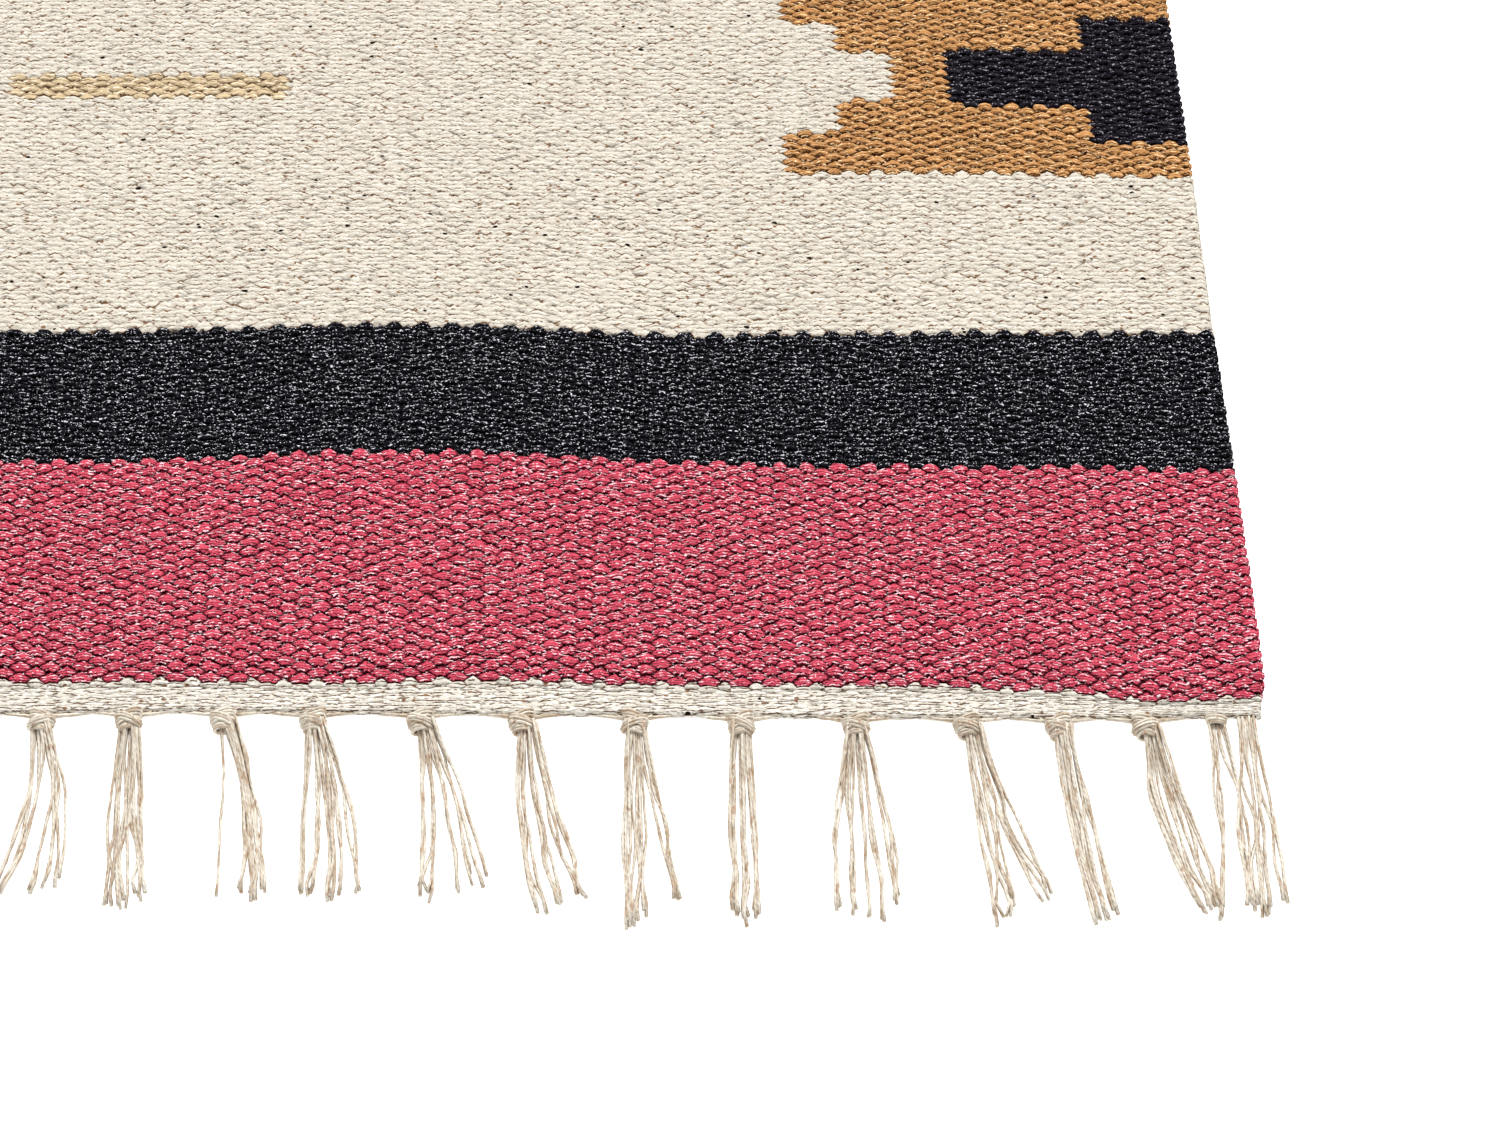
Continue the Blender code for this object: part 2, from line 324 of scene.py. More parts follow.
# The lattice's points are those on the gaps between warps, then those of the creases over the warps, then
# those inside the stitches.
OVER_START = len(picks) * len(gaps)
INNER_START = OVER_START + (len(picks) - 2) * len(columns)


def yarn_map():
    """The yarn at each pick and column."""
    pick = np.clip(picks, 0, PICKS - 1)
    pick = np.minimum(pick, PICKS - 1 - pick)
    column = np.clip(columns, 0, WARPS - 1)
    column = np.minimum(column, WARPS - 1 - column)
    yarn = np.full((len(pick), len(column)), CREAM)
    start = 0
    for stripe in STRIPES:
        row = pick - start
        inside = (row >= 0) & (row < stripe.picks)
        if stripe.name == "motifs":
            row = np.clip(row, 0, stripe.picks - 1)
            for steps, colour in ((BROWN_STEPS, BROWN), (BLACK_STEPS, MOTIF_BLACK)):
                reach = np.repeat([reach for _, reach in steps], [count for count, _ in steps])
                yarn[inside[:, None] & (column < reach[row][:, None])] = colour
            bar = inside & (row >= TAN_BAR_PICKS[0]) & (row < TAN_BAR_PICKS[1])
            yarn[bar[:, None] & (column >= (WARPS - TAN_BAR_WARPS) / 2)] = TAN
        elif stripe.name != "cream":
            yarn[inside] = YARNS.index(stripe.name)
        start += stripe.picks
    return yarn


def smooth_noise(shape, reach):
    """Random numbers of about unit size that change smoothly, over reach cells along each axis."""
    coarse = dice.normal(size=[math.ceil(n / r) + 2 for n, r in zip(shape, reach)])
    at = [np.arange(n) / r for n, r in zip(shape, reach)]
    low = [np.floor(a).astype(int) for a in at]
    share = [a - l for a, l in zip(at, low)]
    share = [f * f * (3 - 2 * f) for f in share]
    rows = coarse[low[0]] * (1 - share[0])[:, None] + coarse[low[0] + 1] * share[0][:, None]
    return rows[:, low[1]] * (1 - share[1]) + rows[:, low[1] + 1] * share[1]


def unevenness(shape, noises):
    """The sum of some smooth noises."""
    return sum(size * smooth_noise(shape, reach) for size, reach in noises)


def border_lines():
    """The pick at each border, and how far along the rug each border lies, by gap."""
    even = np.concatenate([[0], np.cumsum([stripe.length for stripe in STRIPES])])
    at_pick = np.concatenate([[0], np.cumsum([stripe.picks for stripe in STRIPES])])
    knots, *waves = np.array(WAVES).T * MM
    borders = []
    for end, x in ((-1, gap_x), (1, -gap_x)):
        inward = np.minimum(HALF_WIDTH - x, HALF_WIDTH + x * OTHER_SIDE_SQUEEZE + OTHER_SIDE_SHIFT)
        offsets = [np.interp(inward, knots, wave) for wave in waves]
        while len(offsets) < len(even):
            phase = len(offsets) * RIPPLE_PHASE + end
            offsets.append(sum(height * np.sin(gap_x / length + phase) for height, length in INNER_RIPPLES))
        lines = [end * (CLOTH_LENGTH / 2 - place - shift) for place, shift in zip(even, offsets)]
        borders += lines[::-end]
    at_pick = np.concatenate([at_pick, PICKS - at_pick[::-1]])
    return at_pick, np.array(borders)


def softened(line, reach=2):
    """A line of numbers with its corners rounded."""
    width = 2 * reach + 1
    return np.convolve(np.pad(line, reach, mode="edge"), np.ones(width) / width, mode="valid")


def pick_lines():
    """How far along the rug each pick's middle lies, by gap, and the rug's two ends.

    Past the ends the picks go on, to wrap round the edge.
    """
    at_pick, borders = border_lines()
    borders = np.array([softened(line) for line in borders])
    along = np.empty((len(picks), len(gaps)))
    middle = picks + 0.5
    for gap in range(len(gaps)):
        along[:, gap] = np.interp(middle, at_pick, borders[:, gap])
    first, last = np.searchsorted(picks, 0), np.searchsorted(picks, PICKS - 1)
    pitch = STRIPES[0].length / STRIPES[0].picks
    for row in range(first):
        along[row] = borders[0] + pitch * middle[row]
    for row in range(last + 1, len(picks)):
        along[row] = borders[-1] + pitch * (middle[row] - PICKS)
    spacing = np.gradient(along, axis=0)
    inside = ((picks > 0) & (picks < PICKS - 1))[:, None]
    return along + spacing * unevenness(along.shape, BEAT) * inside, borders[0], borders[-1]


along, front_end, back_end = pick_lines()
yarn_at = yarn_map()


def half_width(y):
    """Half the cloth's width at y: it wavers slightly, and its corners are drawn in at the hems."""
    waver = np.abs(SELVEDGE_WAVER * np.sin(math.tau * y / SELVEDGE_WAVER_LENGTH))
    tuck = HEM_TUCK * np.clip(1 - (CLOTH_LENGTH / 2 - np.abs(y)) / HEM_TUCK_LENGTH, 0, 1)
    return HALF_WIDTH + waver - tuck


def turned(place, low, high, turn):
    """place held between low and high, and the angle by which the rest has turned round the edge."""
    held = np.clip(place, low, high)
    return held, np.clip((place - held) / turn, -math.pi, math.pi)


def laid(across, along, rise, middle, gap):
    """Points on the rug, wrapped round its edges, at this distance from its middle layer.

    middle is how high that layer lies, and gap says at which warps the points are.
    """
    flat = HALF_WIDTH - EDGE_INSET
    x, roll = turned(across, -flat, flat, EDGE_TURN)
    place = np.clip(gap - gaps[0], 0, len(gaps) - 1)
    low = np.interp(place, np.arange(len(gaps)), front_end) + END_INSET
    high = np.interp(place, np.arange(len(gaps)), back_end) - END_INSET
    y, pitch = turned(along, low, high, END_TURN)
    x = (x + rise * np.sin(roll)) * half_width(y) / HALF_WIDTH
    y = y + rise * np.sin(pitch)
    z = middle + rise * np.minimum(np.cos(roll), np.cos(pitch))
    return np.stack([x, y, z], -1)


def layer_heights():
    """Half the cloth's thickness at each pick, and its relief at each pick and gap."""
    from_end = np.minimum(picks, PICKS - 1 - picks)
    body = np.clip((from_end - STRIPES[0].picks + SLOPE_PICKS) / (2 * SLOPE_PICKS), 0, 1)
    half = (HEM_THICKNESS + (CLOTH_THICKNESS - HEM_THICKNESS) * body) / 2
    spacing = np.gradient(along, axis=0)
    even = np.median(spacing, axis=1, keepdims=True)
    relief = (HEM_RELIEF + (RELIEF - HEM_RELIEF) * body)[:, None] * np.clip(spacing / even, LEAST_RELIEF, 1.0)
    return half, relief


def tip_reaches(left_yarn, right_yarn):
    """How far the tips at each pick and gap reach, as a share of the warp pitch."""
    reaches = np.array([form.reach for form in STITCH_FORMS.values()])
    before, after = np.roll(left_yarn, 1, 0), np.roll(left_yarn, -1, 0)
    border = before != after
    reach = np.where(left_yarn != right_yarn, JOINT_REACH, (reaches[left_yarn] + reaches[right_yarn]) / 2)
    reach = np.where(border, np.minimum(reach, BORDER_REACH), reach)
    reach = np.where(border & ((before == HEM) | (after == HEM)), HEM_PEAK_REACH, reach)
    return np.where(border & (left_yarn == HEM), HEM_FOOT_REACH, reach)


def gap_index(row, column):
    """The number of the point on the gap left of a column."""
    return row * len(gaps) + column


def over_index(row, column):
    """The number of the point of the crease over a column's warp."""
    return OVER_START + (row - 1) * len(columns) + column


def build_lattice():
    """The points of all stitches, and each stitch's 14 points, its yarn and its pick."""
    half, relief = layer_heights()
    depths, fullnesses = np.array([(form.depth, form.fullness) for form in STITCH_FORMS.values()]).T
    spacing = np.gradient(along, axis=0)

    k, g = np.meshgrid(np.arange(len(picks)), np.arange(len(gaps)), indexing="ij")
    left_yarn = yarn_at[k, np.clip(g - 1, 0, len(columns) - 1)]
    right_yarn = yarn_at[k, np.clip(g, 0, len(columns) - 1)]
    reach = tip_reaches(left_yarn, right_yarn)
    active_right = (picks[k] + gaps[g]) % 2 == 0
    shift = np.where(active_right, -reach, reach) + dice.normal(0, SCATTER.tip, k.shape)
    wander = unevenness(k.shape, WANDER)
    x = (gaps[g] - WARPS / 2 + shift + wander) * WARP_PITCH
    y = along + spacing * dice.normal(0, SCATTER.gap_along, k.shape)
    depth = (depths[left_yarn] + depths[right_yarn]) / 2
    rise = half[k] - relief[k, g] * depth * (1 + dice.normal(0, SCATTER.gap_depth, k.shape))
    gap_points = laid(x, y, rise, half[k], gaps[g])

    k, c = np.meshgrid(np.arange(1, len(picks) - 1), np.arange(len(columns)), indexing="ij")
    column_along = (along[:, :-1] + along[:, 1:]) / 2
    column_x = (columns + 0.5 - WARPS / 2) * WARP_PITCH + (wander[:, :-1] + wander[:, 1:]) / 2 * WARP_PITCH
    depth = (depths[yarn_at[k - 1, c]] + depths[yarn_at[k + 1, c]]) / 2 * (1 - CREASE_OVER_WARP)
    rise = half[k] - relief[k, c] * depth * (1 + dice.normal(0, SCATTER.over_depth, k.shape))
    y = column_along[k, c] + spacing[k, c] * dice.normal(0, SCATTER.over_along, k.shape)
    over_points = laid(column_x[k, c], y, rise, half[k], columns[c] + 0.5)

    stitch = (picks[k] + columns[c]) % 2 == 0
    k, c = k[stitch], c[stitch]
    yarn = yarn_at[k, c]
    fullness = fullnesses[yarn] + dice.normal(0, SCATTER.fullness, k.shape)
    lean = dice.normal(0, SCATTER.lean, k.shape)
    rows = []
    for side in (1, -1):
        step = side * (column_along[k + side, c] - column_along[k, c])
        for part, crown in ((-1, SHOULDER_HEIGHT), (0, CROWN_HEIGHT), (1, SHOULDER_HEIGHT)):
            height = crown + dice.normal(0, SCATTER.height, k.shape)
            x = column_x[k, c] + part * SHOULDER_ALONG * WARP_PITCH
            y = column_along[k, c] + step * (side * ROW_SPREAD + lean * part)
            rise = half[k] - relief[k, c] * (1 - height * fullness)
            rows.append(laid(x, y, rise, half[k], columns[c] + 0.5 + part * SHOULDER_ALONG))
    inner_points = np.stack(rows, 1)
    points = np.concatenate([layer.reshape(-1, 3) for layer in (gap_points, over_points, inner_points)])

    inner = INNER_START + np.arange(len(k))[:, None] * len(rows) + np.arange(len(rows))
    keep = (k >= 2) & (k <= len(picks) - 3)
    k, c, inner, yarn = k[keep], c[keep], inner[keep], yarn[keep]
    far = [gap_index(k + 1, c), over_index(k + 1, c), gap_index(k + 1, c + 1)]
    near = [gap_index(k - 1, c + 1), over_index(k - 1, c), gap_index(k - 1, c)]
    rim = np.stack([gap_index(k, c), *far, gap_index(k, c + 1), *near], 1)
    return points, np.concatenate([rim, inner], 1), yarn, picks[k]


# A stitch's points are numbered round its rim from its left tip by way of its far side, then along the
# two rows inside it. Its faces lie between four rows, of which the first and the last are on the rim, and
# its tips.
LEFT, RIGHT = 0, 4
ROWS = ((1, 2, 3), (8, 9, 10), (11, 12, 13), (7, 6, 5))
BANDS = tuple(zip(ROWS, ROWS[1:]))
STITCH_QUADS = [(far[i], near[i], near[i + 1], far[i + 1]) for far, near in BANDS for i in (0, 1)]
STITCH_TRIANGLES = [(LEFT, near[0], far[0]) for far, near in BANDS]
STITCH_TRIANGLES += [(RIGHT, far[2], near[2]) for far, near in BANDS]
# Where each point of a stitch lies along its yarn, and across it, from -1 to 1.
ON_YARN = np.array(
    [(-1, 0), (-0.6, 1), (0, 1), (0.6, 1), (1, 0), (0.6, -1), (0, -1), (-0.6, -1)]
    + [(x, y) for y in (ROW_SPREAD, -ROW_SPREAD) for x in (-0.5, 0, 0.5)]
)


def mesh_from(name, points, quads, triangles):
    """A smooth-shaded mesh from arrays."""
    mesh = bpy.data.meshes.new(name)
    corners = np.concatenate([quads.ravel(), triangles.ravel()]).astype(np.int32)
    sizes = np.concatenate([np.full(len(quads), 4), np.full(len(triangles), 3)])
    starts = np.concatenate([[0], np.cumsum(sizes)[:-1]]).astype(np.int32)
    mesh.vertices.add(len(points))
    mesh.vertices.foreach_set("co", points.astype(np.float32).ravel())
    mesh.loops.add(len(corners))
    mesh.loops.foreach_set("vertex_index", corners)
    mesh.polygons.add(len(sizes))
    mesh.polygons.foreach_set("loop_start", starts)
    mesh.update(calc_edges=True)
    mesh.shade_smooth()
    return mesh


def give(mesh, name, kind, domain, values):
    """Puts an attribute on the mesh."""
    mesh.attributes.new(name, kind, domain).data.foreach_set("value", values.ravel())


def give_map(mesh, name, places):
    """Puts a map on the mesh: a place for each corner of each face."""
    layer = mesh.uv_layers.new(name=name, do_init=False)
    layer.uv.foreach_set("vector", places.astype(np.float32).ravel())


def stitch_piece(name, points, stitches, tones):
    """One piece of the cloth: these stitches, with their places on the yarn and their tones."""
    used, renumbered = np.unique(stitches, return_inverse=True)
    renumbered = renumbered.reshape(stitches.shape)
    quads = np.concatenate([renumbered[:, quad] for quad in STITCH_QUADS])
    triangles = np.concatenate([renumbered[:, triangle] for triangle in STITCH_TRIANGLES])
    mesh = mesh_from(name, points[used], quads, triangles)
    inner = used >= INNER_START
    edges = np.empty(len(mesh.edges) * 2, np.int32)
    mesh.edges.foreach_get("vertices", edges)
    give(mesh, "sharp_edge", "BOOLEAN", "EDGE", ~inner[edges.reshape(-1, 2)].any(1))
    faces = STITCH_QUADS + STITCH_TRIANGLES
    places = [np.tile(ON_YARN[list(face)], (len(stitches), 1, 1)).reshape(-1, 2) for face in faces]
    give_map(mesh, "on_yarn", np.concatenate(places))
    give(mesh, "rise", "FLOAT", "POINT", inner.astype(np.float32))
    give(mesh, "tone", "FLOAT", "FACE", np.tile(tones, len(faces)).astype(np.float32))
    return add_piece(name, mesh)


def add_piece(name, mesh):
    """A piece, with a map of it as seen from above."""
    points = np.empty(len(mesh.vertices) * 3)
    mesh.vertices.foreach_get("co", points)
    points = points.reshape(-1, 3)[:, :2]
    corners = np.empty(len(mesh.loops), np.int32)
    mesh.loops.foreach_get("vertex_index", corners)
    give_map(mesh, "OFBake", ((points - points.min(0)) / np.ptp(points, axis=0))[corners])
    piece = bpy.data.objects.new(name, mesh)
    bpy.context.scene.collection.objects.link(piece)
    return piece


def build_stitches():
    """The visible weave: one piece for each yarn and each stretch of the rug that has it."""
    points, stitches, yarn, pick = build_lattice()
    tones = dice.random(len(stitches))
    stretch_at = np.clip(pick * len(STRETCHES) // PICKS, 0, len(STRETCHES) - 1)
    pieces = []
    for index, name in enumerate(YARNS):
        for place, stretch in enumerate(STRETCHES):
            chosen = (yarn == index) & (stretch_at == place)
            if not chosen.any():
                continue
            piece = stitch_piece(f"weave_{name}_{stretch}", points, stitches[chosen], tones[chosen])
            piece.data.materials.append(yarn_material(name))
            pieces.append(piece)
    return pieces


# The base sheet


def breaks(changes, every):
    """Where rows or columns of the base begin: at each change of yarn, and every so many places."""
    return {len(changes) + 1, *(np.flatnonzero(changes) + 1), *range(0, len(changes) + 1, every)}


def build_base():
    """The closed sheet under the stitches, with the stripes and motifs on its underside too."""
    half, relief = layer_heights()
    first = np.searchsorted(picks, 0)
    inner = yarn_at[first:first + PICKS, 1:-1]
    slope_foot = STRIPES[0].picks - SLOPE_PICKS - 1
    rows = breaks((inner[1:] != inner[:-1]).any(1), BASE_FACE_PICKS)
    rows = sorted(rows | {slope_foot, PICKS - slope_foot})
    lines = sorted(breaks((inner[:, 1:] != inner[:, :-1]).any(0), BASE_FACE_WARPS))
    widest = HALF_WIDTH - BASE_INSET
    mesh = bmesh.new()
    layers = []
    for top in (True, False):
        layer = []
        for row in rows:
            inset = BASE_INSET * (int(row == 0) - int(row == PICKS))
            y = ((along[first + row - 1, 1:-1] + along[first + row, 1:-1]) / 2 + inset)[lines]
            at = first + min(row, PICKS - 1)
            z = 2 * half[at] - relief[at].max() - BASE_DEPTH if top else BASE_DEPTH / 2
            x = np.clip(np.array(lines) * WARP_PITCH - HALF_WIDTH, -widest, widest)
            x = x * half_width(y) / HALF_WIDTH
            layer.append([mesh.verts.new(place) for place in zip(x, y, [z] * len(x))])
        layers.append(layer)
    upper, lower = layers
    last_row, last_line = len(rows) - 1, len(lines) - 1
    for row in range(last_row):
        for line in range(last_line):
            square = [(row, line), (row, line + 1), (row + 1, line + 1), (row + 1, line)]
            for layer, order in ((upper, 1), (lower, -1)):
                face = mesh.faces.new([layer[r][c] for r, c in square[::order]])
                face.material_index = int(inner[rows[row], lines[line]])
    rim = [(0, line) for line in range(last_line)] + [(row, last_line) for row in range(last_row)]
    rim += [(last_row, line) for line in range(last_line, 0, -1)]
    rim += [(row, 0) for row in range(last_row, 0, -1)]
    for here, there in zip(rim, rim[1:] + rim[:1]):
        corners = ((lower, here), (lower, there), (upper, there), (upper, here))
        face = mesh.faces.new([layer[row][line] for layer, (row, line) in corners])
        row, line = here
        face.material_index = int(inner[min(rows[row], PICKS - 1), min(lines[line], WARPS - 1)])
    data = bpy.data.meshes.new("cloth_base")
    mesh.to_mesh(data)
    mesh.free()
    base = add_piece("cloth_base", data)
    for name in YARNS:
        data.materials.append(base_material(name))
    return base


# The fringe


def ring(count):
    """The angles of so many points round a circle."""
    return np.arange(count) * math.tau / count


# Some faces of a yarn: their corners, the place on the yarn of each corner, and the yarn's tone.
Faces = namedtuple("Faces", "corners places tone")


class Yarns:
    """Tubes of yarn, gathered into one mesh."""

    def __init__(self):
        self.points, self.quads, self.caps = [], [], []
        self.count = 0

    def add(self, path, radii, upright=(0, 0, 1), closed=False):
        """A tube along path. Its flattened section turns along it, as a two-ply yarn's does."""
        tone = dice.random()
        radii = np.broadcast_to(radii, len(path))
        heading = np.roll(path, -1, 0) - np.roll(path, 1, 0) if closed else np.gradient(path, axis=0)
        heading = heading / np.linalg.norm(heading, axis=1)[:, None]
        aside = np.cross(heading, upright)
        aside = (aside / np.linalg.norm(aside, axis=1)[:, None])[:, None]
        above = np.cross(heading, aside[:, 0])[:, None]
        run = np.concatenate([[0], np.cumsum(np.linalg.norm(np.diff(path, axis=0), axis=1))])
        step = run[-1] / (len(path) - 1)
        turn = run / PLY_TURN * math.pi + tone * math.tau
        if closed:
            half_turns = round((run[-1] + step) / PLY_TURN)
            turn = turn[0] + np.arange(len(path)) / len(path) * math.pi * half_turns
        wide, high = np.cos(ring(YARN_SIDES)), PLY_FLATNESS * np.sin(ring(YARN_SIDES))
        cos, sin = np.cos(turn)[:, None], np.sin(turn)[:, None]
        out = (wide * cos - high * sin)[..., None] * aside + (wide * sin + high * cos)[..., None] * above
        rings = path[:, None] + out * radii[:, None, None]
        start = self.count
        self.join(rings.reshape(-1, 3), len(path), step, tone, closed)
        if not closed:
            for end, way in ((0, -1), (len(path) - 1, 1)):
                tip = path[end] + heading[end] * radii[end] * CAP_LENGTH * way
                self.cap(start + end * YARN_SIDES, tip, tone, way)

    def join(self, points, length, step, tone, closed):
        """Adds a tube's rings of points and the faces between them."""
        here, side = np.meshgrid(np.arange(length - (not closed)), np.arange(YARN_SIDES), indexing="ij")
        around = [(here, side), (here, side + 1), (here + 1, side + 1), (here + 1, side)]
        corners = [self.count + at % length * YARN_SIDES + place % YARN_SIDES for at, place in around]
        places = [np.stack([at * step / MM, place / YARN_SIDES], -1) for at, place in around]
        self.points.append(points)
        places = np.stack(places, -2).reshape(-1, 2)
        self.quads.append(Faces(np.stack(corners, -1).reshape(-1, 4), places, tone))
        self.count += len(points)

    def cap(self, first, tip, tone, way):
        """Closes a tube's end, whose ring of points begins with the first."""
        corners = first + np.arange(YARN_SIDES)
        fan = [corners, np.roll(corners, -1)][::way] + [np.full(YARN_SIDES, self.count)]
        self.points.append(tip[None])
        self.caps.append(Faces(np.stack(fan, -1), np.zeros((3 * YARN_SIDES, 2)), tone))
        self.count += 1

    def piece(self, name):
        """The piece that all the tubes make."""
        corners = [np.concatenate([part.corners for part in parts]) for parts in (self.quads, self.caps)]
        mesh = mesh_from(name, np.concatenate(self.points), *corners)
        parts = self.quads + self.caps
        give_map(mesh, "on_yarn", np.concatenate([part.places for part in parts]))
        tones = np.repeat([part.tone for part in parts], [len(part.corners) for part in parts])
        give(mesh, "tone", "FLOAT", "FACE", tones.astype(np.float32))
        return add_piece(name, mesh)


class Tassel(namedtuple("Tassel", "knot lean end edge form")):
    """A tassel: its knot's place and its lean across the rug, its end of it, the edge there, and its form."""

    def path(self, across, out, height):
        """Points so far across from the knot, out from the rug's edge and up from the floor."""
        return np.stack([self.knot + across, self.end * (self.edge + out), height], -1)


def through(start, middle, tip, share):
    """A smooth line through start, middle halfway along and tip."""
    bend = 2 * (start + tip - 2 * middle)
    return start + (tip - start - bend) * share + bend * share**2


def read_tassel(name):
    """A CAD tassel's knot, and how far the middle of its tips lies from it, across the rug."""
    points = np.array([vertex.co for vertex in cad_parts[name].data.vertices])
    out = np.abs(points[:, 1]) - CLOTH_LENGTH / 2
    knot = points[(out > KNOT_REGION[0]) & (out < KNOT_REGION[1]), 0]
    tips = points[out > TIPS_REGION * out.max(), 0]
    knot_middle = (knot.min() + knot.max()) / 2
    return knot_middle, (tips.min() + tips.max()) / 2 - knot_middle


def form_lean(form):
    """How far a form's tips lie from its knot, on the whole."""
    return sum(group.strands * group.tip for group in form) / sum(group.strands for group in form) * MM


def curve_through(places, values, share):
    """A smooth curve through values at places, read at share."""
    slopes = np.gradient(values, places)
    span = np.clip(np.searchsorted(places, share, side="right") - 1, 0, len(places) - 2)
    width = places[span + 1] - places[span]
    t = (share - places[span]) / width
    start = values[span] * (1 + 2 * t) * (1 - t) ** 2 + slopes[span] * width * t * (1 - t) ** 2
    return start + values[span + 1] * t**2 * (3 - 2 * t) + slopes[span + 1] * width * t**2 * (t - 1)


def gathered(lines, share):
    """Strands' places at a station, each drawn towards whichever of some it lies nearest."""
    centres = dice.choice(lines, max(2, round(len(lines) * share)), replace=False)
    apart = centres[np.abs(lines[:, None] - centres).argmin(1)] - lines
    apart = np.where(np.abs(apart) < GATHER_REACH, apart, 0)
    return lines + apart * dice.uniform(*GATHER_PULL) + dice.normal(0, GATHER_SCATTER, len(lines))


def hang_strands(yarns, tassel, first=STRAND_START, lift=BUNDLE_LIFT):
    """The strands below a knot: each comes down to the floor and runs on, with its group, to its tip.

    On their way they touch and part. They start at first, out from the rug's edge, and as high as lift.
    """
    strands = []
    total = sum(group.strands for group in tassel.form)
    shift = tassel.lean - form_lean(tassel.form)
    for group in tassel.form:
        for strand in range(group.strands):
            within = ((2 * strand + 1) / group.strands - 1) * group.spread
            aside = (len(strands) + 0.5) / total - 0.5
            start = aside * KNOT_WIDTH * BUNDLE_WIDTH + tassel.lean * BUNDLE_LEAN
            middle = (group.middle + within * GROUP_MIDDLE) * MM + shift * 0.5**LEAN_CURVE
            tip = (group.tip + within * GROUP_TIP) * MM + shift
            strands.append((start, middle, tip, group.reach * MM))
    *places, reaches = np.array(strands).T
    lines = [through(*places, station.share) for station in STATIONS]
    for place, station in enumerate(STATIONS):
        if station.bundles:
            lines[place] = gathered(lines[place], station.bundles)
    lines = np.array(lines)
    stations = np.array([station.share for station in STATIONS])
    share = np.linspace(0, 1, STRAND_POINTS)
    fall = np.clip(1 - share / FALL_SHARE, 0, 1) ** FALL_CURVE
    for line, reach in zip(lines.T, reaches):
        across = curve_through(stations, line, share)
        reach = reach + dice.normal(*REACH_SCATTER) * MM
        layer = dice.uniform(0.0, 1.0) * (1 - share) ** FALL_CURVE * BUNDLE_DEPTH * lift
        radii = YARN_RADIUS * dice.uniform(*STRAND_SIZES) * (1 + TIP_SWELL * share**TIP_SWELL_CURVE)
        height = radii + layer + (lift - YARN_RADIUS) * fall
        yarns.add(tassel.path(across, first + (reach - first) * share, height), radii)


def wind_knot(yarns, tassel):
    """A knot: bands of yarns, laid side by side, that wind round the bundle and cross in front."""
    angle = ring(KNOT_POINTS)
    way = dice.choice((-1, 1))
    for band in KNOT_BANDS:
        slant = way * math.radians(band.slant + dice.normal(0, SLANT_SCATTER))
        slope = math.tan(slant) * np.where(np.sin(angle) > 0, 1, UNDERSIDE_SLANT)
        for yarn in range(band.yarns):
            beside = (yarn - (band.yarns - 1) / 2) * KNOT_YARN_PITCH
            narrowing = 1 - band.taper * (beside / MM - KNOT_WIDEST) ** 2
            size = band.size * narrowing * dice.uniform(*KNOT_YARN_SIZES)
            across = (KNOT_WIDTH / 2 - YARN_RADIUS) * size * np.cos(angle)
            out = KNOT_DISTANCE + band.out * MM + beside / math.cos(slant) + across * slope
            height = KNOT_THICKNESS / 2 + (KNOT_THICKNESS / 2 - YARN_RADIUS) * size * np.sin(angle)
            yarns.add(tassel.path(across, out, height), KNOT_YARN_RADIUS, upright=(0, 1, 0), closed=True)


def draw_in_warps(yarns, tassel, sides):
    """The warps that run along the rug's end into the knot from these sides."""
    share = np.linspace(0, 1, DRAWN_POINTS)
    for side in sides:
        for warp in DRAWN_WARPS:
            start = side * (warp.start + dice.normal(0, DRAWN_SCATTER)) * MM
            across = through(start, start * DRAWN_HALFWAY, side * warp.aside * MM, share)
            out = through(DRAWN_START_OUT, warp.out * MM, DRAWN_END_OUT, share)
            height = through(*DRAWN_HEIGHTS, KNOT_THICKNESS / 2 + warp.above * MM, share)
            yarns.add(tassel.path(across, out, height), DRAWN_RADIUS)


def add_corner_tassel(yarns, tassel):
    """The corner tassel's two bundles, and the small knot of one."""
    for bundle in CORNER_BUNDLES:
        knot = tassel.knot + bundle.place
        part = tassel._replace(knot=knot, form=bundle.form, lean=form_lean(bundle.form))
        for turn in bundle.turns:
            across = turn.radius * np.cos(ring(CORNER_POINTS))
            height = CORNER_HEIGHT + CORNER_HALF_THICKNESS * np.sin(ring(CORNER_POINTS))
            path = part.path(across, turn.out + across * CORNER_SLANT, height)
            yarns.add(path, CORNER_YARN_RADIUS, upright=(0, 1, 0), closed=True)
        hang_strands(yarns, part, bundle.first, bundle.lift)


def deal_forms(quarter):
    """The forms of a quarter's tassels: the table's in the first, dealt and turned about in others."""
    if quarter == QUARTERS[0]:
        return FORMS
    flipped = []
    for place in (0, *(1 + dice.permutation(len(FORMS) - 1))):
        way = dice.choice((-1, 1))
        form = [group._replace(middle=way * group.middle, tip=way * group.tip) for group in FORMS[place]]
        flipped.append(form)
    return flipped


def build_fringe():
    """The fringe: one piece for each quarter of the rug."""
    pieces = []
    for quarter in QUARTERS:
        end = -1 if quarter.startswith("front") else 1
        yarns = Yarns()
        names = [f"tassel_{quarter}_{place + 1:02d}" for place in range(len(FORMS))]
        for name, form in zip(names, deal_forms(quarter)):
            knot, lean = read_tassel(name)
            if quarter == QUARTERS[0]:
                lean = form_lean(form)
            edge = end * np.interp(knot, gap_x, front_end if end < 0 else back_end)
            tassel = Tassel(knot, lean, end, edge, form)
            if name == CORNER_TASSEL:
                add_corner_tassel(yarns, tassel)
                continue
            draw_in_warps(yarns, tassel, (-np.sign(knot),) if name == names[0] else (-1, 1))
            wind_knot(yarns, tassel)
            hang_strands(yarns, tassel)
        piece = yarns.piece(f"fringe_{quarter}")
        piece.data.materials.append(warp_material())
        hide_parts(*names)
        pieces.append(piece)
    return pieces


# Materials


